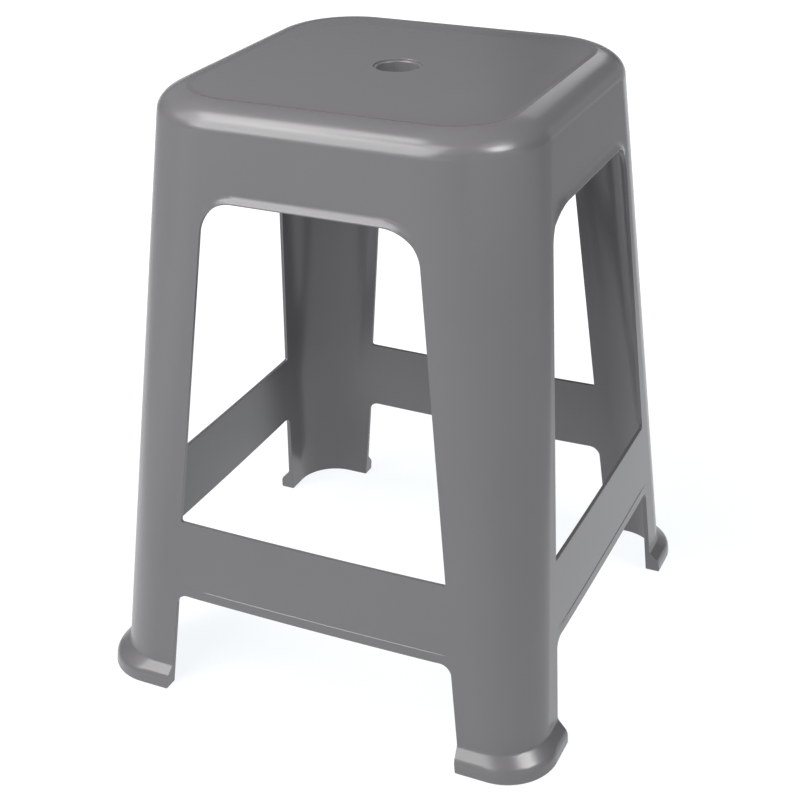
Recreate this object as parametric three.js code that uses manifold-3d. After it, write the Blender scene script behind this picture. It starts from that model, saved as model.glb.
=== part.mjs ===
// A square stacking stool, moulded in one piece, with four elastomer pads in its feet.
// Millimetres, +Z up, the front faces -Y, and the origin is on the floor under the seat's centre.
//
// The body is one thin drafted shell: a tapering rounded square is hollowed from below, and two
// prisms along X and two along Y cut its walls, which leaves four corner legs and four stretchers.

import * as THREE from "three";
import { mergeVertices } from "three/addons/utils/BufferGeometryUtils.js";
import Module from "manifold-3d";

const wasm = await Module();
wasm.setup();

// Overall sizes
const HEIGHT = 447.5;
const PAD_STANDOUT = 0.8;
const BODY_HEIGHT = HEIGHT - PAD_STANDOUT;
const WALL = 2.8;
const SEAT_THICKNESS = 3.2;

// The drafted walls: half widths across the flats and plan corner radii, at the floor and at the top
const FLOOR_HALF = 173.8;
const TOP_HALF = 137.7;
const FLOOR_RADIUS = 37;
const TOP_RADIUS = 68.1;

// The rim round the seat is part of an ellipse, cut off at the crease where the seat begins
const RIM_SPREAD = 28;
const RIM_RISE = 17.2;
const CREASE_INSET = 21.5;
const RIM_RADIUS_SHARE = 1.05;
const SEAT_DIP = 0.2;
const SEAT_DIP_WIDTH = 3;

// The hole in the middle of the seat, with its shallow step
const HOLE_RADIUS = 14.8;
const STEP_RADIUS = 17.4;
const STEP_DEPTH = 0.9;
const STEP_ROUND = 1.4;

// Windows between seat and stretcher. Their slanted sides leave each leg a width on every wall, and
// that width is given where the side's line would meet the floor and the top of the body.
const APRON = 61.7;
const WINDOW_BOTTOM = 142.6;
const WINDOW_TOP = BODY_HEIGHT - APRON;
const WINDOW_LEG_AT_FLOOR = 54.2;
const WINDOW_LEG_AT_TOP = 67.4;
const WINDOW_TOP_ROUND = 26;
const WINDOW_BOTTOM_ROUND = 1.5;

// Openings below the stretchers, with the legs' widths given the same way
const LOWER_TOP = 81.2;
const LOWER_LEG_AT_FLOOR = 55;
const LOWER_LEG_AT_TOP = 70.6;
const LOWER_ROUND = 9;
const STRETCHER_SAG = 0.9;

// Raised lip over a window and raised band along a stretcher's lower edge
const LIP_HEIGHT = 7.6;
const LIP_FACE = 1.7;
const LIP_PROUD = 2.6;
const LIP_ARC_SHARE = 0.6;
const BAND_HEIGHT = 7.6;
const BAND_FACE = 6.9;
const BAND_PROUD = 0.7;
const BAND_LENGTH_SHARE = 0.93;
const EMBED = 1;

// Flared foot at the bottom of each leg, cored for its pad
const FLARE = 7.6;
const FLARE_TOP = 18.9;
const FLARE_SLOPE = THREE.MathUtils.degToRad(45);
const FLARE_SHOULDER_ROUND = 6;
const SOLE_ROUND = 1.3;
const FOOT_WALL = 2.5;
const CORE_DEPTH = 11;
const PAD_GAP = 0.3;

// Ribs under the seat
const BOSS_WALL = 2.6;
const RIB = 2.2;
const RIB_DEPTH = 11;
const RIB_SQUARE_HALF = 66;
const RIB_SQUARE_RADIUS = 34;
const STOP_DEPTH = 26;
const STOP_START = 92;

// Facets
const CORNER_STEPS = 12;
const RIM_STEPS = 8;
const ARC_STEPS = 10;
const HOLE_STEPS = 40;
const FOOT_STEPS = 3;

const { lerp } = THREE.MathUtils;
const QUARTER_TURN = Math.PI / 2;
const QUARTER_DEGREES = 90;
const CORNERS = 4;
const OVERSHOOT = 5;
const MERGE_DISTANCE = 0.0001;

const wallHalf = (z) => lerp(FLOOR_HALF, TOP_HALF, z / BODY_HEIGHT);
const wallRadius = (z) => lerp(FLOOR_RADIUS, TOP_RADIUS, z / BODY_HEIGHT);
const windowHalf = (z) => wallHalf(z) - lerp(WINDOW_LEG_AT_FLOOR, WINDOW_LEG_AT_TOP, z / BODY_HEIGHT);
const lowerHalf = (z) => wallHalf(z) - lerp(LOWER_LEG_AT_FLOOR, LOWER_LEG_AT_TOP, z / BODY_HEIGHT);

// Solids

// A closed triangle mesh as a solid that can be joined and cut.
function solid(geometry) {
  const bare = geometry.clone();
  bare.deleteAttribute("normal");
  bare.deleteAttribute("uv");
  const merged = mergeVertices(bare, MERGE_DISTANCE);
  const index = merged.index.array;
  const kept = [];
  for (let i = 0; i < index.length; i += 3) {
    const [a, b, c] = index.subarray(i, i + 3);
    if (a !== b && b !== c && c !== a) kept.push(a, b, c);
  }
  return new wasm.Manifold(new wasm.Mesh({
    numProp: 3,
    vertProperties: new Float32Array(merged.attributes.position.array),
    triVerts: new Uint32Array(kept),
  }));
}

function geometryOf(manifold) {
  const mesh = manifold.getMesh();
  const geometry = new THREE.BufferGeometry();
  geometry.setAttribute("position", new THREE.BufferAttribute(new Float32Array(mesh.vertProperties), 3));
  geometry.setIndex(new THREE.BufferAttribute(new Uint32Array(mesh.triVerts), 1));
  geometry.computeVertexNormals();
  return geometry;
}

// A closed body through rings of points. Each ring has as many points as the next and turns
// anticlockwise seen from the end that the rings run towards. Its two end rings are convex.
function loft(rings) {
  const count = rings[0].length;
  const last = (rings.length - 1) * count;
  const index = [];
  for (let ring = 0; ring < rings.length - 1; ring++) {
    for (let i = 0; i < count; i++) {
      const a = ring * count + i;
      const b = ring * count + ((i + 1) % count);
      index.push(a, b, b + count, a, b + count, a + count);
    }
  }
  for (let i = 1; i < count - 1; i++) {
    index.push(0, i + 1, i);
    index.push(last, last + i, last + i + 1);
  }
  const geometry = new THREE.BufferGeometry().setFromPoints(rings.flat());
  geometry.setIndex(index);
  return geometry;
}

function roundedSquare(half, radius, z) {
  const points = [];
  for (let corner = 0; corner < CORNERS; corner++) {
    const x = (corner === 0 || corner === 3 ? 1 : -1) * (half - radius);
    const y = (corner < 2 ? 1 : -1) * (half - radius);
    for (let step = 0; step <= CORNER_STEPS; step++) {
      const angle = (corner + step / CORNER_STEPS) * QUARTER_TURN;
      points.push(new THREE.Vector3(x + radius * Math.cos(angle), y + radius * Math.sin(angle), z));
    }
  }
  return points;
}

const fourTurns = (manifold) => [1, 2, 3].reduce(
  (all, turn) => all.add(manifold.rotate([0, 0, turn * QUARTER_DEGREES])),
  manifold,
);

// Both directions of a prism that runs through two opposite walls
const bothWays = (manifold) => manifold.add(manifold.rotate([0, 0, QUARTER_DEGREES]));

// The drafted body

const RIM_END = Math.acos(1 - CREASE_INSET / RIM_SPREAD);
const RIM_BASE = BODY_HEIGHT - RIM_RISE * Math.sin(RIM_END);
const DRAFT = (FLOOR_HALF - TOP_HALF) / BODY_HEIGHT;
const SEAT_LEVEL = BODY_HEIGHT - SEAT_DIP;

// Rings of the body's surface, moved inwards by offset, from the rim's foot up to topZ.
function rimRings(offset, topZ) {
  const spread = RIM_SPREAD - offset;
  const rise = RIM_RISE - offset;
  const start = Math.atan((DRAFT * rise) / spread);
  const end = Math.asin((topZ - RIM_BASE) / rise);
  const rings = [];
  for (let step = 0; step <= RIM_STEPS; step++) {
    const angle = lerp(start, end, step / RIM_STEPS);
    const inset = spread * (Math.cos(start) - Math.cos(angle));
    const half = wallHalf(RIM_BASE) - offset - inset;
    const radius = wallRadius(RIM_BASE) - offset - inset * RIM_RADIUS_SHARE;
    rings.push(roundedSquare(half, radius, RIM_BASE + rise * Math.sin(angle)));
  }
  return rings;
}

const wallRing = (z, offset) => roundedSquare(wallHalf(z) - offset, wallRadius(z) - offset, z);

// How far the foot stands out of the wall, from the sole up: [height, stand-out] pairs.
function footProfile() {
  const points = [];
  for (let step = 0; step <= FOOT_STEPS; step++) {
    const angle = (step / FOOT_STEPS) * QUARTER_TURN;
    points.push([SOLE_ROUND * (1 - Math.cos(angle)), FLARE - SOLE_ROUND * (1 - Math.sin(angle))]);
  }
  const meet = FLARE_TOP - FLARE * Math.tan(FLARE_SLOPE);
  const arcBase = meet - FLARE_SHOULDER_ROUND * Math.tan(FLARE_SLOPE / 2);
  for (let step = 0; step <= FOOT_STEPS; step++) {
    const angle = (step / FOOT_STEPS) * FLARE_SLOPE;
    points.push([
      arcBase + FLARE_SHOULDER_ROUND * Math.sin(angle),
      FLARE - FLARE_SHOULDER_ROUND * (1 - Math.cos(angle)),
    ]);
  }
  points.push([FLARE_TOP, 0]);
  return points;
}

function outerBody() {
  const rings = footProfile().map(([z, standout]) => wallRing(z, -standout));
  rings.push(...rimRings(0, BODY_HEIGHT));
  const creaseHalf = wallHalf(RIM_BASE) - CREASE_INSET;
  const creaseRadius = wallRadius(RIM_BASE) - CREASE_INSET * RIM_RADIUS_SHARE;
  rings.push(roundedSquare(creaseHalf - SEAT_DIP_WIDTH, creaseRadius - SEAT_DIP_WIDTH / 2, SEAT_LEVEL));
  return solid(loft(rings));
}

function innerBody(offset, topZ) {
  return solid(loft([wallRing(-OVERSHOOT, offset), ...rimRings(offset, topZ)]));
}

// Outlines in a wall's own plane: x along the wall and y for height

// A tapered outline with a bowed lower or upper edge and rounded corners, all four its own.
function openingOutline({ bottom, top, halfAt, bottomRound, topRound, bottomSag = 0, topSag = 0 }) {
  const lean = Math.atan((halfAt(bottom) - halfAt(top)) / (top - bottom));
  const topCentre = top - topRound;
  const topX = halfAt(topCentre) - topRound / Math.cos(lean);
  const bottomCentre = bottom + bottomRound;
  const bottomX = halfAt(bottomCentre) - bottomRound / Math.cos(lean);
  const shape = new THREE.Shape();
  shape.moveTo(-bottomX, bottom);
  shape.quadraticCurveTo(0, bottom - 2 * bottomSag, bottomX, bottom);
  shape.absarc(bottomX, bottomCentre, bottomRound, -QUARTER_TURN, lean, false);
  shape.absarc(topX, topCentre, topRound, lean, QUARTER_TURN, false);
  shape.quadraticCurveTo(0, top - 2 * topSag, -topX, top);
  shape.absarc(-topX, topCentre, topRound, QUARTER_TURN, Math.PI - lean, false);
  shape.absarc(-bottomX, bottomCentre, bottomRound, Math.PI - lean, Math.PI + QUARTER_TURN, false);
  return shape;
}

const windowOutline = openingOutline({
  bottom: WINDOW_BOTTOM,
  top: WINDOW_TOP,
  halfAt: windowHalf,
  bottomRound: WINDOW_BOTTOM_ROUND,
  topRound: WINDOW_TOP_ROUND,
  bottomSag: STRETCHER_SAG,
});

const lowerOutline = openingOutline({
  bottom: -OVERSHOOT,
  top: LOWER_TOP,
  halfAt: lowerHalf,
  bottomRound: WINDOW_BOTTOM_ROUND,
  topRound: LOWER_ROUND,
  topSag: STRETCHER_SAG,
});

// A prism of an outline that passes through the front and the back wall.
function wallPrism(outline) {
  const reach = FLOOR_HALF + FLARE + OVERSHOOT;
  const geometry = new THREE.ExtrudeGeometry(outline, {
    depth: 2 * reach,
    bevelEnabled: false,
    curveSegments: ARC_STEPS,
  });
  geometry.rotateX(QUARTER_TURN);
  geometry.translate(0, reach, 0);
  return solid(geometry);
}

// Raised edges on the front wall

// A strip along a path of { x, z, nx, nz, scale }, where n points from the opening into the wall.
// Its section is a list of [distance from the edge, stand-out] pairs.
function edgeStrip(path, section) {
  const rings = path.map(({ x, z, nx, nz, scale }) => section.map(([away, standout]) => {
    const height = z + nz * away;
    const out = standout > 0 ? standout * scale : standout;
    return new THREE.Vector3(x + nx * away, -(wallHalf(height) + out), height);
  }));
  return solid(loft(rings));
}

const lipSection = [
  [-EMBED, -EMBED],
  [LIP_HEIGHT, -EMBED],
  [LIP_HEIGHT, 0],
  [LIP_FACE, LIP_PROUD],
  [-EMBED, LIP_PROUD],
];

const bandSection = [
  [-EMBED, -EMBED],
  [BAND_HEIGHT, -EMBED],
  [BAND_HEIGHT, 0],
  [BAND_FACE, BAND_PROUD],
  [-EMBED, BAND_PROUD],
];

// The window's top edge and the upper part of its two corner arcs, where the lip dies out.
function lipPath() {
  const centreZ = WINDOW_TOP - WINDOW_TOP_ROUND;
  const centreX = windowHalf(centreZ) - WINDOW_TOP_ROUND;
  const path = [];
  for (const side of [-1, 1]) {
    const arc = [];
    for (let step = 0; step <= ARC_STEPS; step++) {
      const turn = (step / ARC_STEPS) * LIP_ARC_SHARE * QUARTER_TURN;
      arc.push({
        x: side * (centreX + WINDOW_TOP_ROUND * Math.sin(turn)),
        z: centreZ + WINDOW_TOP_ROUND * Math.cos(turn),
        nx: side * Math.sin(turn),
        nz: Math.cos(turn),
        scale: Math.cos((step / ARC_STEPS) * QUARTER_TURN),
      });
    }
    if (side < 0) arc.reverse();
    path.push(...arc);
  }
  return path;
}

// The straight part of a stretcher's lower edge, with its bow.
function bandPath() {
  const half = lowerHalf(LOWER_TOP) - LOWER_ROUND;
  const path = [];
  for (let step = 0; step <= ARC_STEPS; step++) {
    const share = (2 * step) / ARC_STEPS - 1;
    const rise = STRETCHER_SAG * (1 - share * share);
    const end = step === 0 || step === ARC_STEPS;
    path.push({ x: share * half * BAND_LENGTH_SHARE, z: LOWER_TOP - rise, nx: 0, nz: 1, scale: end ? 0 : 1 });
  }
  return path;
}

// Feet

// The band between two rounded squares, from one height to another, in the four leg corners.
function footRing({ outerHalf, innerHalf, from, to, clear }) {
  const radius = (half) => FLOOR_RADIUS - (FLOOR_HALF - half);
  const block = (half) => solid(loft([
    roundedSquare(half, radius(half), from),
    roundedSquare(half, radius(half), to),
  ]));
  const band = block(outerHalf).subtract(block(innerHalf));
  const reach = FLOOR_HALF + FLARE + OVERSHOOT;
  const size = reach - clear;
  const corner = new THREE.BoxGeometry(size, size, to - from + OVERSHOOT);
  corner.translate(clear + size / 2, clear + size / 2, (from + to) / 2);
  return { band, corner: solid(corner) };
}

const coreOuter = FLOOR_HALF + FLARE - FOOT_WALL - SOLE_ROUND / 2;
const coreInner = FLOOR_HALF - WALL + FOOT_WALL;
const coreClear = FLOOR_HALF - LOWER_LEG_AT_FLOOR + FOOT_WALL;

function footCores() {
  const { band, corner } = footRing({
    outerHalf: coreOuter,
    innerHalf: coreInner,
    from: -OVERSHOOT,
    to: CORE_DEPTH,
    clear: coreClear,
  });
  return fourTurns(band.intersect(corner));
}

// One pad, in the corner that is turned by quarter turns from +X +Y.
function footPad(turn) {
  const { band, corner } = footRing({
    outerHalf: coreOuter - PAD_GAP,
    innerHalf: coreInner + PAD_GAP,
    from: -PAD_STANDOUT,
    to: CORE_DEPTH - PAD_GAP,
    clear: coreClear + PAD_GAP,
  });
  return band.intersect(corner).rotate([0, 0, turn * QUARTER_DEGREES]);
}

// Underside of the seat

function ribBox(length, depth, fromCentre) {
  const box = new THREE.BoxGeometry(length, RIB, depth + SEAT_THICKNESS);
  box.translate(fromCentre + length / 2, 0, SEAT_LEVEL - (depth + SEAT_THICKNESS) / 2 - SEAT_THICKNESS / 2);
  return solid(box);
}

function underside() {
  const reach = TOP_HALF * Math.SQRT2;
  const level = SEAT_LEVEL - SEAT_THICKNESS;
  const cross = fourTurns(ribBox(reach, RIB_DEPTH, HOLE_RADIUS));
  const stops = fourTurns(ribBox(reach, STOP_DEPTH, STOP_START).add(ribBox(reach, RIB_DEPTH, HOLE_RADIUS)));
  const squareTop = level + SEAT_THICKNESS / 2;
  const square = (half, radius) => solid(loft([
    roundedSquare(half, radius, level - RIB_DEPTH),
    roundedSquare(half, radius, squareTop),
  ]));
  const ring = square(RIB_SQUARE_HALF, RIB_SQUARE_RADIUS)
    .subtract(square(RIB_SQUARE_HALF - RIB, RIB_SQUARE_RADIUS - RIB).translate([0, 0, -OVERSHOOT])
      .add(square(RIB_SQUARE_HALF - RIB, RIB_SQUARE_RADIUS - RIB).translate([0, 0, OVERSHOOT])));
  const boss = new THREE.CylinderGeometry(
    HOLE_RADIUS + BOSS_WALL,
    HOLE_RADIUS + BOSS_WALL,
    RIB_DEPTH + SEAT_THICKNESS / 2,
    HOLE_STEPS,
  );
  boss.rotateX(QUARTER_TURN);
  boss.translate(0, 0, level - RIB_DEPTH + (RIB_DEPTH + SEAT_THICKNESS / 2) / 2);
  const all = cross.add(stops.rotate([0, 0, QUARTER_DEGREES / 2])).add(ring).add(solid(boss));
  return all.intersect(innerBody(WALL / 2, SEAT_LEVEL - SEAT_THICKNESS / 2));
}

// The hole, its rounded edge and the step round it, as one cutter.
function seatHole() {
  const floor = SEAT_LEVEL - STEP_DEPTH;
  const profile = [new THREE.Vector2(0, floor - RIB_DEPTH - 2 * OVERSHOOT)];
  profile.push(new THREE.Vector2(HOLE_RADIUS, floor - RIB_DEPTH - 2 * OVERSHOOT));
  for (let step = 0; step <= FOOT_STEPS; step++) {
    const angle = (step / FOOT_STEPS) * QUARTER_TURN;
    profile.push(new THREE.Vector2(
      HOLE_RADIUS + STEP_ROUND * (1 - Math.cos(angle)),
      floor - STEP_ROUND * (1 - Math.sin(angle)),
    ));
  }
  profile.push(new THREE.Vector2(STEP_RADIUS, floor));
  profile.push(new THREE.Vector2(STEP_RADIUS, BODY_HEIGHT + OVERSHOOT));
  profile.push(new THREE.Vector2(0, BODY_HEIGHT + OVERSHOOT));
  const geometry = new THREE.LatheGeometry(profile, HOLE_STEPS);
  geometry.rotateX(QUARTER_TURN);
  return solid(geometry);
}

// The assembly

function stoolBody() {
  const raised = edgeStrip(lipPath(), lipSection).add(edgeStrip(bandPath(), bandSection));
  return outerBody()
    .add(fourTurns(raised))
    .subtract(innerBody(WALL, SEAT_LEVEL - SEAT_THICKNESS))
    .subtract(bothWays(wallPrism(windowOutline)))
    .subtract(bothWays(wallPrism(lowerOutline)))
    .add(underside())
    .subtract(footCores())
    .subtract(seatHole());
}

const polypropylene = new THREE.MeshStandardMaterial({ color: 0x7f7d80, roughness: 0.42, metalness: 0 });
const elastomer = new THREE.MeshStandardMaterial({ color: 0x3a3a3c, roughness: 0.8, metalness: 0 });

function piece(name, manifold, material) {
  const mesh = new THREE.Mesh(geometryOf(manifold), material.clone());
  mesh.name = name;
  return mesh;
}

const stool = new THREE.Group();
stool.name = "stacking_stool";
stool.position.z = PAD_STANDOUT;
stool.add(piece("stool_body", stoolBody(), polypropylene));
["back_right", "back_left", "front_left", "front_right"].forEach((place, turn) => {
  stool.add(piece(`foot_pad_${place}`, footPad(turn), elastomer));
});

export default stool;
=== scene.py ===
# %% [markdown]
# A stacking stool, moulded in one piece from grey polypropylene. The lesson models its shell as a
# toolmaker would think of it: a solid tower gives the outside, a second tower is taken out of it
# from below, and four slanted prisms open the windows and the spaces between the feet.

# %% Load the frame
import math

import bmesh
import bpy
from mathutils import Matrix, Vector


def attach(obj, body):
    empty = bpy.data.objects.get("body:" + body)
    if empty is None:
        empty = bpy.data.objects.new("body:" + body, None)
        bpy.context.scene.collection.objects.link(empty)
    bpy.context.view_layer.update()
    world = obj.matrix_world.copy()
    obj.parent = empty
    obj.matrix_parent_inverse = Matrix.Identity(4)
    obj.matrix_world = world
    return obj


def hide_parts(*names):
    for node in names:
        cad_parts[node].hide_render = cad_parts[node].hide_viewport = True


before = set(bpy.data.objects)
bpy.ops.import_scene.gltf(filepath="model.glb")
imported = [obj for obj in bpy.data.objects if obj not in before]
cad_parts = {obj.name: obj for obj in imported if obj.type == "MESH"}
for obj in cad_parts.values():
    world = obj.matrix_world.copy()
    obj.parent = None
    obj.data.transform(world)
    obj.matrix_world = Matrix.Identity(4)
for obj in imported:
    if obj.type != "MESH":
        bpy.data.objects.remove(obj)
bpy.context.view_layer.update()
print("frame:", sorted(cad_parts))

# %% [markdown]
# Everything is modelled in millimetres and scaled to metres once, because bevels and booleans are
# easier to set in round numbers. Heights are measured from the plastic's own sole. The four pads
# lift the plastic a little off the floor, so the finished pieces go up by that much.

# %% Sizes
MM = 0.001
LIFT = 0.8
TOP = 446.7
WALL = 2.8
SEAT_THICKNESS = 3.2
FLOOR_HALF, TOP_HALF = 173.8, 137.7
FLOOR_RADIUS, TOP_RADIUS = 37, 68.1


def mix(low, high, share):
    return low + (high - low) * share


def wall_half(z):
    return mix(FLOOR_HALF, TOP_HALF, z / TOP)


def wall_radius(z):
    return mix(FLOOR_RADIUS, TOP_RADIUS, z / TOP)


print("half width at the sole and at the top:", wall_half(0), wall_half(TOP))

# %% [markdown]
# Blender's operators work on the active object and on whatever is selected, so each step first
# selects one piece and nothing else.

# %% Select one piece
def only(piece):
    bpy.ops.object.select_all(action="DESELECT")
    piece.select_set(True)
    bpy.context.view_layer.objects.active = piece


def combine(piece, tool, operation):
    only(piece)
    step = piece.modifiers.new("cut", "BOOLEAN")
    step.operation = operation
    step.solver = "EXACT"
    step.object = tool
    bpy.ops.object.modifier_apply(modifier=step.name)
    bpy.data.objects.remove(tool)
    print(piece.name, operation.lower(), "leaves", len(piece.data.polygons), "faces")


print("selected after loading:", len(bpy.context.selected_objects), "objects")

# %% [markdown]
# The outside is a stack of rounded squares. A plane gets its four corners bevelled, and its face is
# extruded upwards ring by ring. The corner radius grows with height on the real stool, which a
# plain scale can't do, so the vertices of each new ring are placed by their angle round the corner.

# %% Tower of rounded squares
CORNER_STEPS = 24


def turn_ring(vertices, old, new):
    _, old_half, old_radius = old
    height, half, radius = new
    for vertex in vertices:
        side_x = math.copysign(1, vertex.co.x)
        side_y = math.copysign(1, vertex.co.y)
        centre = old_half - old_radius
        angle = math.atan2(vertex.co.y - side_y * centre, vertex.co.x - side_x * centre)
        vertex.co = (
            side_x * (half - radius) + radius * math.cos(angle),
            side_y * (half - radius) + radius * math.sin(angle),
            height,
        )


def tower(name, rings):
    height, half, radius = rings[0]
    bpy.ops.object.select_all(action="DESELECT")
    bpy.ops.mesh.primitive_plane_add(size=2 * half, location=(0, 0, 0))
    piece = bpy.context.object
    piece.name = name
    bpy.ops.object.mode_set(mode="EDIT")
    bpy.ops.mesh.bevel(offset=radius, segments=CORNER_STEPS, affect="VERTICES", clamp_overlap=False)
    mesh = bmesh.from_edit_mesh(piece.data)
    turn_ring(mesh.verts, rings[0], rings[0])
    for old, new in zip(rings, rings[1:]):
        bpy.ops.mesh.extrude_region_move()
        mesh = bmesh.from_edit_mesh(piece.data)
        turn_ring([v for v in mesh.verts if v.select], old, new)
    bpy.ops.mesh.select_all(action="SELECT")
    bpy.ops.mesh.normals_make_consistent(inside=False)
    bpy.ops.object.mode_set(mode="OBJECT")
    print(name, "has", len(piece.data.polygons), "faces")
    return piece


# %% [markdown]
# The rim round the seat is a quarter of an ellipse that stops at a crease, where the seat begins.
# Its steps are close together, because this is where the long highlight lies. Just inside the
# crease runs a shallow valley, given as pairs of a distance from the crease and a depth, which
# draws a fine dark line round the seat.

# %% Rim profile
RIM_SPREAD, RIM_RISE, CREASE_INSET = 28, 17.3, 20.8
RIM_RADIUS_SHARE = 1.05
RIM_STEPS = 18
SEAT_DIP = 0.2
VALLEY = (
    (0.3, 0.03), (3.2, 0.48), (4.2, 0.56), (6, 0.58),
    (10, 0.48), (15, 0.34), (20, 0.23), (24, SEAT_DIP),
)
VALLEY_RADIUS_SHARE = 0.5
RIM_BASE = TOP - RIM_RISE * math.sin(math.acos(1 - CREASE_INSET / RIM_SPREAD))
SEAT_LEVEL = TOP - SEAT_DIP
DRAFT = (FLOOR_HALF - TOP_HALF) / TOP


def rim_rings(offset, top):
    spread, rise = RIM_SPREAD - offset, RIM_RISE - offset
    start = math.atan(DRAFT * rise / spread)
    end = math.asin((top - RIM_BASE) / rise)
    rings = []
    for step in range(RIM_STEPS + 1):
        angle = mix(start, end, step / RIM_STEPS)
        inset = spread * (math.cos(start) - math.cos(angle))
        rings.append((
            RIM_BASE + rise * math.sin(angle),
            wall_half(RIM_BASE) - offset - inset,
            wall_radius(RIM_BASE) - offset - inset * RIM_RADIUS_SHARE,
        ))
    return rings


print("rim starts at", round(RIM_BASE, 2), "and the seat lies at", SEAT_LEVEL)

# %% [markdown]
# A foot flares out so that the stool stands firmly, and its thick skirt hides the pad. From below
# it is a small round at the sole, an upright skirt, a rounded shoulder, a straight slope and a
# hollow round that leads into the leg. Each round is a run of points with its height and how far
# it stands out from the wall.

# %% Foot profile
FLARE, SOLE_ROUND = 7.6, 1.3
SHOULDER_BASE, SHOULDER_ROUND = 6.5, 8
FLARE_LEAN = math.radians(42)
KINK_ROUND = 5
FOOT_STEPS = 10


def foot_profile():
    points = []
    for step in range(FOOT_STEPS + 1):
        angle = math.radians(90) * step / FOOT_STEPS
        points.append((
            SOLE_ROUND * (1 - math.cos(angle)),
            FLARE - SOLE_ROUND * (1 - math.sin(angle)),
        ))
    for step in range(FOOT_STEPS + 1):
        angle = FLARE_LEAN * step / FOOT_STEPS
        points.append((
            SHOULDER_BASE + SHOULDER_ROUND * math.sin(angle),
            FLARE - SHOULDER_ROUND * (1 - math.cos(angle)),
        ))
    height, standout = points[-1]
    straight = (standout - KINK_ROUND * (1 - math.cos(FLARE_LEAN))) / math.sin(FLARE_LEAN)
    kink_top = height + straight * math.cos(FLARE_LEAN) + KINK_ROUND * math.sin(FLARE_LEAN)
    for step in range(FOOT_STEPS + 1):
        angle = FLARE_LEAN * (1 - step / FOOT_STEPS)
        points.append((kink_top - KINK_ROUND * math.sin(angle), KINK_ROUND * (1 - math.cos(angle))))
    return points


print("the foot flares from", round(foot_profile()[-1][0], 1), "mm above the sole")

# %% [markdown]
# The outside is built in one go, from the sole through the foot and the straight wall to the rim
# and the seat. The flare's corners are a little rounder than the wall's, as they are on the stool.

# %% Outside of the body
FOOT_RADIUS_GAIN, FOOT_RADIUS_SHARE = 1.8, 3.4
outer_rings = []
for height, standout in foot_profile():
    radius = wall_radius(height) + min(FOOT_RADIUS_GAIN, standout * FOOT_RADIUS_SHARE)
    outer_rings.append((height, wall_half(height) + standout, radius))
outer_rings += rim_rings(0, TOP)
_, crease_half, crease_radius = outer_rings[-1]
for distance, depth in VALLEY:
    radius = crease_radius - distance * VALLEY_RADIUS_SHARE
    outer_rings.append((TOP - depth, crease_half - distance, radius))
body = tower("stool_shell", outer_rings)

# %% [markdown]
# Each side of the stool has a window above its stretcher and an open space below it. The legs
# between them get wider towards the seat, so an opening's half width is the wall's half width less
# the leg's width at that height.

# %% Sizes of the openings
OPENING_STEPS = 16
APRON = 60.6
WINDOW_BOTTOM, WINDOW_TOP = 142.6, TOP - APRON
WINDOW_TOP_ROUND, WINDOW_BOTTOM_ROUND = 26, 1.5
WINDOW_LEG_AT_FLOOR, WINDOW_LEG_AT_TOP = 54.2, 67.4
LOWER_LEG_AT_FLOOR, LOWER_LEG_AT_TOP = 55, 70.6
LOWER_TOP, LOWER_ROUND, STRETCHER_SAG = 81.2, 9, 0.9


def window_half(z):
    return wall_half(z) - mix(WINDOW_LEG_AT_FLOOR, WINDOW_LEG_AT_TOP, z / TOP)


def lower_half(z):
    return wall_half(z) - mix(LOWER_LEG_AT_FLOOR, LOWER_LEG_AT_TOP, z / TOP)


print("window half width:", round(window_half(WINDOW_BOTTOM), 1), round(window_half(WINDOW_TOP), 1))

# %% [markdown]
# A window's upper edge turns outwards into a thick lip, which fades away round the upper corners.
# Under each stretcher runs a raised band less than a millimetre proud. Each path is a row of points
# on the front wall, with the direction away from the opening and how much of the strip is left.

# %% Paths of the lip and the band
LIP_ARC_SHARE = 0.6


def lip_path():
    centre_z = WINDOW_TOP - WINDOW_TOP_ROUND
    centre_x = window_half(centre_z) - WINDOW_TOP_ROUND
    path = []
    for side in (-1, 1):
        arc = []
        for step in range(OPENING_STEPS + 1):
            share = step / OPENING_STEPS
            turn = math.radians(90) * LIP_ARC_SHARE * share
            along, up = side * math.sin(turn), math.cos(turn)
            fade = math.cos(math.radians(90) * share)
            x, z = centre_x * side + WINDOW_TOP_ROUND * along, centre_z + WINDOW_TOP_ROUND * up
            arc.append((x, z, along, up, fade))
        path += arc[::-1] if side < 0 else arc
    return path


def band_path():
    half = lower_half(LOWER_TOP)
    path = []
    for step in range(OPENING_STEPS + 1):
        share = 2 * step / OPENING_STEPS - 1
        fade = 0 if step in (0, OPENING_STEPS) else 1
        path.append((share * half, LOWER_TOP - STRETCHER_SAG * (1 - share * share), 0, 1, fade))
    return path


print("points on the lip's path and the band's:", len(lip_path()), len(band_path()))

# %% [markdown]
# A strip carries its small section along its path: each point of the path gets a ring of vertices,
# and faces join every ring to the next. A curve with a bevel would tilt the section off the leaning
# wall, so the faces are made directly. The other three sides are turned copies.

# %% Strip along a path
def strip(name, path, section):
    mesh = bmesh.new()
    rings = []
    for x, z, along, up, fade in path:
        ring = []
        for away, out in section:
            height = z + up * away
            out = out * fade if out > 0 else out
            ring.append(mesh.verts.new((x + along * away, -(wall_half(height) + out), height)))
        rings.append(ring)
    for first, second in zip(rings, rings[1:]):
        for i in range(len(section)):
            j = (i + 1) % len(section)
            mesh.faces.new((first[i], first[j], second[j], second[i]))
    mesh.faces.new(rings[0])
    mesh.faces.new(rings[-1])
    bmesh.ops.recalc_face_normals(mesh, faces=mesh.faces)
    data = bpy.data.meshes.new(name)
    mesh.to_mesh(data)
    mesh.free()
    piece = bpy.data.objects.new(name, data)
    bpy.context.scene.collection.objects.link(piece)
    return piece


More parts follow.
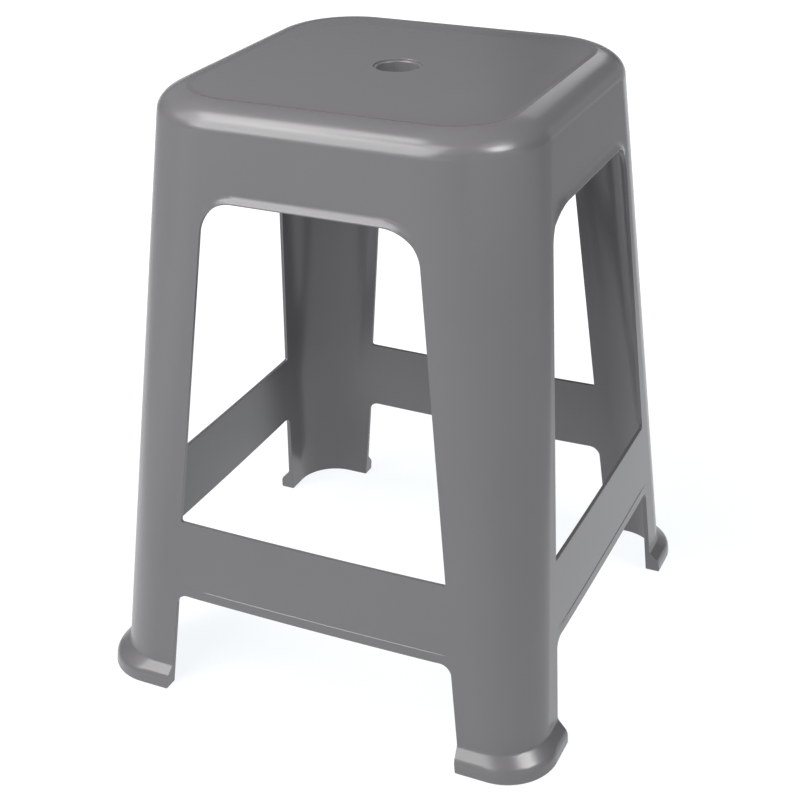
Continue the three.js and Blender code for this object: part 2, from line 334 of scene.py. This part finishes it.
def four_sides(piece):
    copies = [piece]
    for turn in (1, 2, 3):
        copy = piece.copy()
        copy.data = piece.data.copy()
        copy.data.transform(Matrix.Rotation(math.radians(90) * turn, 4, "Z"))
        bpy.context.scene.collection.objects.link(copy)
        copies.append(copy)
    only(piece)
    for copy in copies:
        copy.select_set(True)
    bpy.ops.object.join()
    return piece


LIP_HEIGHT, LIP_FACE, LIP_PROUD = 7.6, 1, 2.6
LIP_LEAN = math.radians(45)
LIP_STEPS = 8
EMBED = 1


def lip_section():
    curve = []
    for step in range(LIP_STEPS + 1):
        angle = LIP_LEAN * step / LIP_STEPS
        away = mix(LIP_HEIGHT, LIP_FACE, math.sin(angle) / math.sin(LIP_LEAN))
        curve.append((away, LIP_PROUD * (1 - math.cos(angle)) / (1 - math.cos(LIP_LEAN))))
    return [(-EMBED, -EMBED), (LIP_HEIGHT, -EMBED)] + curve + [(-EMBED, LIP_PROUD)]


lip = four_sides(strip("lip", lip_path(), lip_section()))
print("four lips have", len(lip.data.polygons), "faces")

# %% [markdown]
# The band's section is a plain bar with a narrow slope on top, which shows as a fine line. Lip and
# band are joined on before the openings are cut, so that the cut leaves wall and strip flush.

# %% Join the lip and the band to the wall
BAND_HEIGHT, BAND_FACE, BAND_PROUD = 7.8, 7.4, 0.35
band_section = [
    (-EMBED, -EMBED),
    (BAND_HEIGHT, -EMBED),
    (BAND_HEIGHT, 0),
    (BAND_FACE, BAND_PROUD),
    (-EMBED, BAND_PROUD),
]
band = four_sides(strip("band", band_path(), band_section))
combine(body, lip, "UNION")
combine(body, band, "UNION")

# %% [markdown]
# The hollow is the same kind of tower, set in from the outside by the wall. Near the feet it is
# set in further, because the real legs get thicker there. At the top it follows the rim.

# %% Hollow it from below
OVERSHOOT = 5
FOOT_WALL_EXTRA, EXTRA_TOP = 1.6, 120
thick = WALL + FOOT_WALL_EXTRA
inner_rings = [
    (-OVERSHOOT, wall_half(-OVERSHOOT) - thick, wall_radius(-OVERSHOOT) - thick),
    (EXTRA_TOP, wall_half(EXTRA_TOP) - WALL, wall_radius(EXTRA_TOP) - WALL),
]
inner_rings += rim_rings(WALL, SEAT_LEVEL - SEAT_THICKNESS)
combine(body, tower("hollow", inner_rings), "DIFFERENCE")

# %% [markdown]
# In edit mode, vertices are picked by their place. Two measures count as the same when they are
# less than a thousandth of a millimetre apart, because sums of decimals are rarely exact.

# %% Pick vertices by place
SAME = 0.001


def pick_vertices(piece, wanted):
    bpy.ops.mesh.select_all(action="DESELECT")
    bpy.ops.mesh.select_mode(type="VERT")
    mesh = bmesh.from_edit_mesh(piece.data)
    for vertex in mesh.verts:
        vertex.select = wanted(vertex.co)
    mesh.select_flush_mode()
    bmesh.update_edit_mesh(piece.data)


print("measures are the same within", SAME, "mm")

# %% [markdown]
# Each opening is a flat outline first: a plane whose four corners go to the slanted sides, with the
# corners bevelled to the real radii and the stretcher's edge bowed a little. Extruding it through
# two opposite walls at once keeps the front and the back alike.

# %% Openings between the legs
BOW_CUTS = 15


def corner_offset(radius, angle):
    return radius / math.tan(angle / 2)


def opening(name, low, high, half_at, low_round, high_round, bowed):
    bpy.ops.object.select_all(action="DESELECT")
    bpy.ops.mesh.primitive_plane_add(size=2)
    piece = bpy.context.object
    piece.name = name
    reach = FLOOR_HALF + FLARE + OVERSHOOT
    bpy.ops.object.mode_set(mode="EDIT")
    mesh = bmesh.from_edit_mesh(piece.data)
    for vertex in mesh.verts:
        height = high if vertex.co.y > 0 else low
        vertex.co = (math.copysign(half_at(height), vertex.co.x), -reach, height)
    lean = math.atan((half_at(low) - half_at(high)) / (high - low))
    for height, radius, angle in (
        (high, high_round, math.radians(90) + lean),
        (low, low_round, math.radians(90) - lean),
    ):
        if radius:
            pick_vertices(piece, lambda co: abs(co.z - height) < SAME)
            bpy.ops.mesh.bevel(
                offset=corner_offset(radius, angle),
                segments=OPENING_STEPS,
                affect="VERTICES",
                clamp_overlap=False,
            )
    edge_height = low if bowed == "low" else high
    pick_vertices(piece, lambda co: abs(co.z - edge_height) < SAME)
    bpy.ops.mesh.subdivide(number_cuts=BOW_CUTS)
    mesh = bmesh.from_edit_mesh(piece.data)
    row = [v for v in mesh.verts if abs(v.co.z - edge_height) < SAME]
    half = max(v.co.x for v in row)
    for vertex in row:
        vertex.co.z -= STRETCHER_SAG * (1 - (vertex.co.x / half) ** 2)
    bpy.ops.mesh.select_all(action="SELECT")
    bpy.ops.mesh.extrude_region_move(TRANSFORM_OT_translate={"value": (0, 2 * reach, 0)})
    bpy.ops.mesh.select_all(action="SELECT")
    bpy.ops.mesh.normals_make_consistent(inside=False)
    bpy.ops.object.mode_set(mode="OBJECT")
    return piece


window = opening(
    "window", WINDOW_BOTTOM, WINDOW_TOP, window_half, WINDOW_BOTTOM_ROUND, WINDOW_TOP_ROUND, "low"
)
lower = opening("lower", -OVERSHOOT, LOWER_TOP, lower_half, 0, LOWER_ROUND, "high")
only(window)
lower.select_set(True)
bpy.ops.object.join()
sideways = window.copy()
sideways.data = window.data.copy()
sideways.data.transform(Matrix.Rotation(math.radians(90), 4, "Z"))
bpy.context.scene.collection.objects.link(sideways)
combine(body, window, "DIFFERENCE")
combine(body, sideways, "DIFFERENCE")

# %% [markdown]
# No moulded edge is perfectly sharp. The cut edges of the wall are broken with a small bevel, which
# is what draws the fine light line round the windows and along the legs.

# %% Broken edges
EDGE_ROUND, EDGE_STEPS = 0.4, 2
SHARP_ANGLE = math.radians(50)
WELD = 0.01


def break_edges(piece, width):
    only(piece)
    bpy.ops.object.mode_set(mode="EDIT")
    bpy.ops.mesh.select_all(action="SELECT")
    bpy.ops.mesh.remove_doubles(threshold=WELD)
    bpy.ops.mesh.select_all(action="DESELECT")
    bpy.ops.mesh.select_mode(type="EDGE")
    bpy.ops.mesh.edges_select_sharp(sharpness=SHARP_ANGLE)
    mesh = bmesh.from_edit_mesh(piece.data)
    count = sum(edge.select for edge in mesh.edges)
    bpy.ops.mesh.bevel(offset=width, segments=EDGE_STEPS, affect="EDGES", clamp_overlap=False)
    bpy.ops.object.mode_set(mode="OBJECT")
    print(piece.name, "has", count, "edges broken by", width, "mm")


break_edges(body, EDGE_ROUND)

# %% [markdown]
# Underneath, ribs carry the seat: four straight ones, four towards the corners, a rounded square
# and a round boss about the hole. The corner ribs step down into deep stops, on which the next
# stool of a stack would rest. A rib is thinner at its free edge, so that it leaves the mould.

# %% Straight ribs and corner ribs
HOLE_RADIUS = 14.8
RIB, RIB_EDGE, RIB_DEPTH = 2.4, 1.9, 11
STOP_DEPTH, STOP_START = 26, 92
RIB_ROOT = SEAT_LEVEL - SEAT_THICKNESS / 2
RIB_FOOT = SEAT_LEVEL - SEAT_THICKNESS - RIB_DEPTH


def rib_arm(name, stop):
    bpy.ops.object.select_all(action="DESELECT")
    bpy.ops.mesh.primitive_cube_add(size=1)
    piece = bpy.context.object
    piece.name = name
    reach = TOP_HALF * math.sqrt(2)
    bpy.ops.object.mode_set(mode="EDIT")
    mesh = bmesh.from_edit_mesh(piece.data)
    for vertex in mesh.verts:
        low = vertex.co.z < 0
        vertex.co = (
            HOLE_RADIUS if vertex.co.x < 0 else (STOP_START if stop else reach),
            math.copysign((RIB_EDGE if low else RIB) / 2, vertex.co.y),
            RIB_FOOT if low else RIB_ROOT,
        )
    if stop:
        outwards, downwards = (reach - STOP_START, 0, 0), (0, 0, RIB_DEPTH - STOP_DEPTH)
        pick_vertices(piece, lambda co: abs(co.x - STOP_START) < SAME)
        bpy.ops.mesh.extrude_region_move(TRANSFORM_OT_translate={"value": outwards})
        pick_vertices(piece, lambda co: co.x > STOP_START - SAME and abs(co.z - RIB_FOOT) < SAME)
        bpy.ops.mesh.extrude_region_move(TRANSFORM_OT_translate={"value": downwards})
    bpy.ops.mesh.select_all(action="SELECT")
    bpy.ops.mesh.normals_make_consistent(inside=False)
    bpy.ops.object.mode_set(mode="OBJECT")
    return piece


ribs = four_sides(rib_arm("ribs", stop=False))
corner_ribs = four_sides(rib_arm("corner_ribs", stop=True))
corner_ribs.data.transform(Matrix.Rotation(math.radians(45), 4, "Z"))
only(ribs)
corner_ribs.select_set(True)
bpy.ops.object.join()
print("ribs are", RIB_DEPTH, "mm deep and the stops", STOP_DEPTH, "mm")

# %% [markdown]
# The boss and the hole are round, so both start as a disc that is extruded upwards, and each new
# ring is drawn in or out to its own radius.

# %% Round shapes
TURN_STEPS = 64


def turned(name, profile):
    height, radius = profile[0]
    bpy.ops.object.select_all(action="DESELECT")
    bpy.ops.mesh.primitive_circle_add(
        vertices=TURN_STEPS, radius=radius, fill_type="NGON", location=(0, 0, height)
    )
    piece = bpy.context.object
    piece.name = name
    bpy.ops.object.transform_apply(location=True)
    bpy.ops.object.mode_set(mode="EDIT")
    for (_, old_radius), (height, radius) in zip(profile, profile[1:]):
        bpy.ops.mesh.extrude_region_move()
        mesh = bmesh.from_edit_mesh(piece.data)
        for vertex in mesh.verts:
            if vertex.select:
                x, y = vertex.co.x * radius / old_radius, vertex.co.y * radius / old_radius
                vertex.co = (x, y, height)
    bpy.ops.mesh.select_all(action="SELECT")
    bpy.ops.mesh.normals_make_consistent(inside=False)
    bpy.ops.object.mode_set(mode="OBJECT")
    return piece


BOSS_WALL, BOSS_DRAFT = 2.6, 0.3
boss_radius = HOLE_RADIUS + BOSS_WALL
boss = turned("boss", [(RIB_FOOT, boss_radius - BOSS_DRAFT), (RIB_ROOT, boss_radius)])
combine(ribs, boss, "UNION")

# %% [markdown]
# The rounded square is a low tower with a second one taken out. All ribs end inside the wall, so
# they are cut to a tower that follows the hollow, half a wall further out.

# %% Rounded square, and the ribs on the seat
RIB_SQUARE_HALF, RIB_SQUARE_RADIUS = 66, 34
narrower = (RIB - RIB_EDGE) / 2
square = tower("rib_square", [
    (RIB_FOOT, RIB_SQUARE_HALF - narrower, RIB_SQUARE_RADIUS - narrower),
    (RIB_ROOT, RIB_SQUARE_HALF, RIB_SQUARE_RADIUS),
])
square_inside = tower("rib_square_inside", [
    (RIB_FOOT - OVERSHOOT, RIB_SQUARE_HALF - RIB, RIB_SQUARE_RADIUS - RIB),
    (RIB_ROOT + OVERSHOOT, RIB_SQUARE_HALF - RIB, RIB_SQUARE_RADIUS - RIB),
])
combine(square, square_inside, "DIFFERENCE")
combine(ribs, square, "UNION")
limit_rings = [(height, half + WALL / 2, radius + WALL / 2) for height, half, radius in inner_rings]
limit_rings = limit_rings[1:-1] + [(RIB_ROOT,) + limit_rings[-1][1:]]
combine(ribs, tower("inside_limit", limit_rings), "INTERSECT")
combine(body, ribs, "UNION")

# %% [markdown]
# The hole takes a finger that lifts the stool off a stack. Its edge is rounded and lies in a
# shallow round step, so the cutter is turned with that step and that round on it.

# %% Hole in the seat
STEP_RADIUS, STEP_DEPTH, STEP_ROUND, STEP_CHAMFER = 17, 0.9, 1.3, 0.3
step_floor = SEAT_LEVEL - STEP_DEPTH
hole_profile = [(RIB_FOOT - OVERSHOOT, HOLE_RADIUS)]
for step in range(FOOT_STEPS + 1):
    angle = math.radians(90) * step / FOOT_STEPS
    hole_profile.append((
        step_floor - STEP_ROUND * (1 - math.sin(angle)),
        HOLE_RADIUS + STEP_ROUND * (1 - math.cos(angle)),
    ))
hole_profile += [
    (step_floor, STEP_RADIUS),
    (SEAT_LEVEL - STEP_CHAMFER, STEP_RADIUS),
    (SEAT_LEVEL, STEP_RADIUS + STEP_CHAMFER),
    (TOP + OVERSHOOT, STEP_RADIUS + STEP_CHAMFER),
]
combine(body, turned("hole", hole_profile), "DIFFERENCE")

# %% [markdown]
# Each foot is hollow from below, with a channel that grips a soft pad. The channel and the pad are
# the same band between two rounded squares, kept only in the corners. The pad is a little smaller
# all round and stands out below the plastic.

# %% Channels in the feet
FOOT_WALL, CORE_DEPTH, PAD_GAP = 2.5, 11, 0.3
CUT_MARGIN = 1
CORE_OUTER = FLOOR_HALF + FLARE - FOOT_WALL - SOLE_ROUND / 2
CORE_INNER = FLOOR_HALF - WALL + FOOT_WALL
CORE_CLEAR = FLOOR_HALF - LOWER_LEG_AT_FLOOR + FOOT_WALL


def corner_bands(name, outer, inner, low, high, clear):
    def radius(half):
        return FLOOR_RADIUS - (FLOOR_HALF - half)

    band = tower(name, [(low, outer, radius(outer)), (high, outer, radius(outer))])
    below, above = low - CUT_MARGIN, high + CUT_MARGIN
    middle = tower("middle", [(below, inner, radius(inner)), (above, inner, radius(inner))])
    combine(band, middle, "DIFFERENCE")
    reach = FLOOR_HALF + FLARE + OVERSHOOT
    bpy.ops.object.select_all(action="DESELECT")
    bpy.ops.mesh.primitive_cube_add(size=1)
    corner = bpy.context.object
    for vertex in corner.data.vertices:
        vertex.co = (
            clear if vertex.co.x < 0 else reach,
            clear if vertex.co.y < 0 else reach,
            below - CUT_MARGIN if vertex.co.z < 0 else above + CUT_MARGIN,
        )
    combine(band, four_sides(corner), "INTERSECT")
    return band


cores = corner_bands("cores", CORE_OUTER, CORE_INNER, -OVERSHOOT, CORE_DEPTH, CORE_CLEAR)
combine(body, cores, "DIFFERENCE")

# %% [markdown]
# Curved parts are shaded smooth and real edges stay crisp. The large flat walls would be tinted by
# the small faces round them, so a weighted normal modifier lets the larger face win.

# %% Shading and units
def to_metres(piece):
    piece.data.transform(Matrix.Translation((0, 0, LIFT * MM)) @ Matrix.Scale(MM, 4))
    piece.data.update()


SMOOTH_ANGLE = math.radians(35)
LARGE_FACE_WEIGHT = 100


def shade(piece):
    only(piece)
    bpy.ops.object.shade_smooth_by_angle(angle=SMOOTH_ANGLE)
    step = piece.modifiers.new("weights", "WEIGHTED_NORMAL")
    step.keep_sharp = True
    step.weight = LARGE_FACE_WEIGHT
    bpy.ops.object.modifier_apply(modifier=step.name)


shade(body)
to_metres(body)
print(body.name, "is", round(body.dimensions.z, 4), "m high")

# %% [markdown]
# The pads use the same band as their channels, less the gap on every side. One solid holds all
# four, so they are separated by loose parts, and each is named after the corner where it lies.

# %% Pads
PAD_ROUND = 0.25
pads = corner_bands(
    "pads",
    CORE_OUTER - PAD_GAP,
    CORE_INNER + PAD_GAP,
    -LIFT,
    CORE_DEPTH - PAD_GAP,
    CORE_CLEAR + PAD_GAP,
)
break_edges(pads, PAD_ROUND)
shade(pads)
to_metres(pads)
only(pads)
bpy.ops.object.mode_set(mode="EDIT")
bpy.ops.mesh.separate(type="LOOSE")
bpy.ops.object.mode_set(mode="OBJECT")
pad_pieces = {}
for piece in list(bpy.context.selected_objects):
    middle = sum((v.co for v in piece.data.vertices), Vector()) / len(piece.data.vertices)
    place = ("back" if middle.y > 0 else "front") + ("_right" if middle.x > 0 else "_left")
    piece.name = "grip_pad_" + place
    pad_pieces[place] = piece
print("pads:", sorted(pad_pieces))

# %% [markdown]
# A colour picked from a picture is coded for a screen by the sRGB curve, while the renderer adds up
# light in plain proportion, so one function turns the hex value to linear numbers. A second one
# adds a node, sets its values and joins it to the nodes before it, so that a material reads from
# top to bottom.

# %% Colours and nodes
def linear(colour):
    channels = [int(colour[i:i + 2], 16) / 255 for i in (1, 3, 5)]
    light = [c / 12.92 if c <= 0.04045 else ((c + 0.055) / 1.055) ** 2.4 for c in channels]
    return tuple(light) + (1,)


def node(tree, kind, settings=(), links=()):
    made = tree.nodes.new(kind)
    for name, value in dict(settings).items():
        if isinstance(name, str) and hasattr(made, name):
            setattr(made, name, value)
        else:
            made.inputs[name].default_value = value
    for output, name in links:
        tree.links.new(output, made.inputs[name])
    return made


print("mid grey in linear light:", [round(c, 3) for c in linear("#6c6a6e")[:3]])

# %% [markdown]
# Moulded plastics share one build. Polypropylene and elastomer have an index of refraction close to
# 1.49, and what sets them apart is how their mould was finished. Two noises on the object's own
# coordinates do the rest. A broad one follows the uneven cooling of the plastic and shifts colour
# and roughness a little. A fine one is the grain of the mould's surface, raised by one to three
# hundredths of a millimetre. Real grain is finer than the picture can show, so it is drawn coarser.

# %% Materials
PLASTIC_IOR = 1.49
COOLING = {"Detail": 3, "Roughness": 0.45}
COOLING_LOW, COOLING_HIGH = 0.3, 0.7
GRAIN_DETAIL = 2
# A colour Mix node has sockets of the same name for each kind of data, so they go by number.
MIX_FACTOR, MIX_DARK, MIX_LIGHT, MIX_RESULT = 0, 6, 7, 2


def moulded(name, colours, roughness, patch, grain, depth):
    material = bpy.data.materials.new(name)
    material.use_nodes = True
    tree = material.node_tree
    shader = tree.nodes["Principled BSDF"]
    shader.inputs["IOR"].default_value = PLASTIC_IOR
    place = node(tree, "ShaderNodeTexCoord").outputs["Object"]
    cooling = node(
        tree, "ShaderNodeTexNoise", COOLING | {"Scale": 1 / (patch * MM)}, [(place, "Vector")]
    )
    dark, light = (linear(colour) for colour in colours)
    tint = node(
        tree,
        "ShaderNodeMix",
        {"data_type": "RGBA", MIX_DARK: dark, MIX_LIGHT: light},
        [(cooling.outputs["Fac"], MIX_FACTOR)],
    )
    smoothest, roughest = roughness
    cooling_range = {"From Min": COOLING_LOW, "From Max": COOLING_HIGH}
    # Map Range stops at its ends, which keeps satin plastic under a roughness of 0.274. Above that,
    # the renderer's noise filter takes it for a matt one and draws a faint contour.
    sheen = node(
        tree,
        "ShaderNodeMapRange",
        cooling_range | {"To Min": smoothest, "To Max": roughest},
        [(cooling.outputs["Fac"], "Value")],
    )
    grains = node(
        tree,
        "ShaderNodeTexNoise",
        {"Scale": 1 / (grain * MM), "Detail": GRAIN_DETAIL},
        [(place, "Vector")],
    )
    relief = node(
        tree, "ShaderNodeBump", {"Distance": depth * MM}, [(grains.outputs["Fac"], "Height")]
    )
    tree.links.new(tint.outputs[MIX_RESULT], shader.inputs["Base Color"])
    tree.links.new(sheen.outputs[0], shader.inputs["Roughness"])
    tree.links.new(relief.outputs["Normal"], shader.inputs["Normal"])
    print(name, "has", len(tree.nodes), "nodes")
    return material


# Satin polypropylene from a fine blasted mould: soft wide highlights, no mirror image.
polypropylene = moulded(
    "moulded_polypropylene",
    colours=("#5e5d5f", "#616062"),
    roughness=(0.23, 0.27),
    patch=60,
    grain=1.1,
    depth=0.012,
)
# Matt thermoplastic elastomer from a rough mould: almost no highlight.
elastomer = moulded(
    "moulded_elastomer",
    colours=("#37373a", "#3e3e41"),
    roughness=(0.74, 0.86),
    patch=9,
    grain=0.7,
    depth=0.03,
)
body.data.materials.clear()
body.data.materials.append(polypropylene)
for piece in pad_pieces.values():
    piece.data.materials.clear()
    piece.data.materials.append(elastomer)

# %% [markdown]
# Each finished piece takes the place of its plain CAD solid and rides on the part's one body. The
# material in each piece's slot says what the piece is made of.

# %% Put the pieces on the part
body.name = "moulded_stool"
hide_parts("stool_body")
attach(body, "root")
for place, piece in pad_pieces.items():
    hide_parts("foot_pad_" + place)
    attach(piece, "root")
print("pieces on the part:", 1 + len(pad_pieces))

# %% [markdown]
# The floor is a table of opal acrylic that is lit from below, as product photographers use it to
# lose the shadows. Its glow opens like a fan from below the camera. On both sides it is dimmer, and
# dimmest behind, because light from there would wash out the right-hand wall.

# %% Floor
FLOOR_SIZE = 40
SHOT_AZIMUTH = math.radians(24.5197)
NEAR_GLOW, FAR_GLOW = 0.92, 1.1
SIDE_FRONT, SIDE_BACK = 0.75, 0.3
SIDE_START, SIDE_END = -0.3, 0.4
FAR_START, FAR_END = 0.2, 1.2
FAN_ORIGIN = 1.03
FAN_INSIDE, FAN_OUTSIDE = math.radians(19), math.radians(27)
OPAL, OPAL_ROUGHNESS, TUBE_LIGHT = "#6c6c6c", 0.9, "#f9fcff"

bpy.ops.object.select_all(action="DESELECT")
bpy.ops.mesh.primitive_plane_add(size=FLOOR_SIZE)
floor = bpy.context.object
floor.name = "studio_floor"
acrylic = bpy.data.materials.new("backlit_opal_acrylic")
acrylic.use_nodes = True
tree = acrylic.node_tree
place = node(tree, "ShaderNodeTexCoord").outputs["Object"]
turned_place = node(
    tree, "ShaderNodeMapping", {"Rotation": (0, 0, -SHOT_AZIMUTH)}, [(place, "Vector")]
)
table = node(tree, "ShaderNodeSeparateXYZ", (), [(turned_place.outputs[0], 0)])
soft = {"interpolation_type": "SMOOTHSTEP"}
middle_range = {"From Min": FAR_START, "From Max": FAR_END}
middle = node(
    tree,
    "ShaderNodeMapRange",
    soft | middle_range | {"To Min": NEAR_GLOW, "To Max": FAR_GLOW},
    [(table.outputs["Y"], "Value")],
)
side_range = {"From Min": SIDE_START, "From Max": SIDE_END}
sides = node(
    tree,
    "ShaderNodeMapRange",
    soft | side_range | {"To Min": SIDE_FRONT, "To Max": SIDE_BACK},
    [(table.outputs["Y"], "Value")],
)
aside = node(tree, "ShaderNodeMath", {"operation": "ABSOLUTE"}, [(table.outputs["X"], 0)])
ahead = node(tree, "ShaderNodeMath", {"operation": "ADD", 1: FAN_ORIGIN}, [(table.outputs["Y"], 0)])
fan = node(
    tree, "ShaderNodeMath", {"operation": "ARCTAN2"}, [(aside.outputs[0], 0), (ahead.outputs[0], 1)]
)
glow = node(
    tree,
    "ShaderNodeMapRange",
    soft | {"From Min": FAN_INSIDE, "From Max": FAN_OUTSIDE},
    [(fan.outputs[0], "Value"), (middle.outputs[0], "To Min"), (sides.outputs[0], "To Max")],
)
shader = tree.nodes["Principled BSDF"]
shader.inputs["Base Color"].default_value = linear(OPAL)
shader.inputs["Roughness"].default_value = OPAL_ROUGHNESS
shader.inputs["Emission Color"].default_value = linear(TUBE_LIGHT)
tree.links.new(glow.outputs[0], shader.inputs["Emission Strength"])
floor.data.materials.append(acrylic)
print("floor glows at", NEAR_GLOW, "near and", FAR_GLOW, "far")

# %% [markdown]
# All lamps are soft boxes: flat panels aimed at the stool, given by compass angle, height angle and
# distance. A panel's power follows from its brightness and its area, so a larger box isn't a
# dimmer one. The long highlight on the front of the rim mirrors the large key box, the spot on the
# corner and on the foot below it mirrors the two corner boxes on the right, and the bright band
# along the seat's right edge mirrors a low box far behind. The others fill in the walls.

# %% Light
AIM = Vector((0, 0, 0.3))
LAMP_TINT = "#fffefd"
AIR_TINT, AIR_STRENGTH = "#d6e4fa", 0.05
BOXES = {
    # azimuth from the front towards the right, height angle, distance, width, depth, brightness
    "key": (-28, 43, 1.8, 1.5, 1.2, 6.4),
    "key_core": (-50, 56, 1.8, 0.3, 0.35, 6),
    "upper_left": (-74, 63, 1.8, 0.5, 0.66, 8.5),
    "left": (-72, 38, 1.8, 0.75, 0.7, 2.4),
    "top": (-10, 67, 1.8, 0.7, 0.35, 5.5),
    "low_key": (-38, 24, 1.8, 0.9, 0.35, 3.9),
    "corner": (80, 44, 1.6, 0.5, 0.5, 11.2),
    "corner_core": (79, 43, 1.6, 0.3, 0.42, 6.8),
    "right_high": (88, 56, 2.2, 1, 0.8, 2.2),
    "right_low": (70, 12, 2.5, 3, 1.2, 1),
    "front_low": (0, 12, 2.5, 2.4, 0.9, 1),
    "rim": (-174, 22, 2.5, 0.5, 0.36, 2.25),
    "back_left": (-140, 18, 2.5, 1.8, 0.6, 0.22),
    "back_right": (160, 7, 2.5, 1.2, 1.1, 0.46),
}


def soft_box(name, azimuth, height, distance, width, depth, brightness):
    azimuth, height = math.radians(azimuth), math.radians(height)
    direction = Vector((
        math.sin(azimuth) * math.cos(height),
        -math.cos(azimuth) * math.cos(height),
        math.sin(height),
    ))
    lamp = bpy.data.lights.new(name + "_softbox", "AREA")
    lamp.shape = "RECTANGLE"
    lamp.size, lamp.size_y = width, depth
    lamp.energy = brightness * math.pi * width * depth
    lamp.color = linear(LAMP_TINT)[:3]
    box = bpy.data.objects.new(name + "_softbox", lamp)
    bpy.context.scene.collection.objects.link(box)
    box.location = AIM + direction * distance
    box.rotation_euler = direction.to_track_quat("Z", "Y").to_euler()


for name, box in BOXES.items():
    soft_box(name, *box)
world = bpy.data.worlds.new("studio_air")
bpy.context.scene.world = world
world.use_nodes = True
air = world.node_tree.nodes["Background"]
air.inputs["Color"].default_value = linear(AIR_TINT)
air.inputs["Strength"].default_value = AIR_STRENGTH
print("soft boxes:", len(BOXES))

# %% [markdown]
# The camera was found from the picture's own lines: about thirty straight edges fix its place, its
# tilt and its lens. Its frame is built from three directions, backwards, right and up, and a small
# shift moves the picture's centre off the lens axis.

# %% Camera
ELEVATION, ROLL = math.radians(27.8268), math.radians(-0.7968)
DISTANCE, ACROSS, AIM_HEIGHT = 1.1648474, 0.0057275, 0.1823404
FOCAL_PIXELS, CENTRE_X, CENTRE_Y = 1506.8957, 410.89, 404.0329
FRAME = 800
SENSOR = 36
back = Vector((
    math.sin(SHOT_AZIMUTH) * math.cos(ELEVATION),
    -math.cos(SHOT_AZIMUTH) * math.cos(ELEVATION),
    math.sin(ELEVATION),
))
right = Vector((math.cos(SHOT_AZIMUTH), math.sin(SHOT_AZIMUTH), 0))
up = back.cross(right)
rolled_right = math.cos(ROLL) * right + math.sin(ROLL) * up
rolled_up = -math.sin(ROLL) * right + math.cos(ROLL) * up
lens = bpy.data.cameras.new("camera")
camera = bpy.data.objects.new("camera", lens)
bpy.context.scene.collection.objects.link(camera)
spot = right * ACROSS + Vector((0, 0, AIM_HEIGHT)) + back * DISTANCE
rotation = Matrix((rolled_right, rolled_up, back)).transposed()
camera.matrix_world = Matrix.Translation(spot) @ rotation.to_4x4()
lens.sensor_width = SENSOR
lens.lens = FOCAL_PIXELS * SENSOR / FRAME
lens.shift_x = (FRAME / 2 - CENTRE_X) / FRAME
lens.shift_y = (CENTRE_Y - FRAME / 2) / FRAME
bpy.context.scene.camera = camera
bpy.context.scene.view_settings.view_transform = "Standard"
print("camera stands", [round(c, 3) for c in spot], "with a lens of", round(lens.lens, 1), "mm")
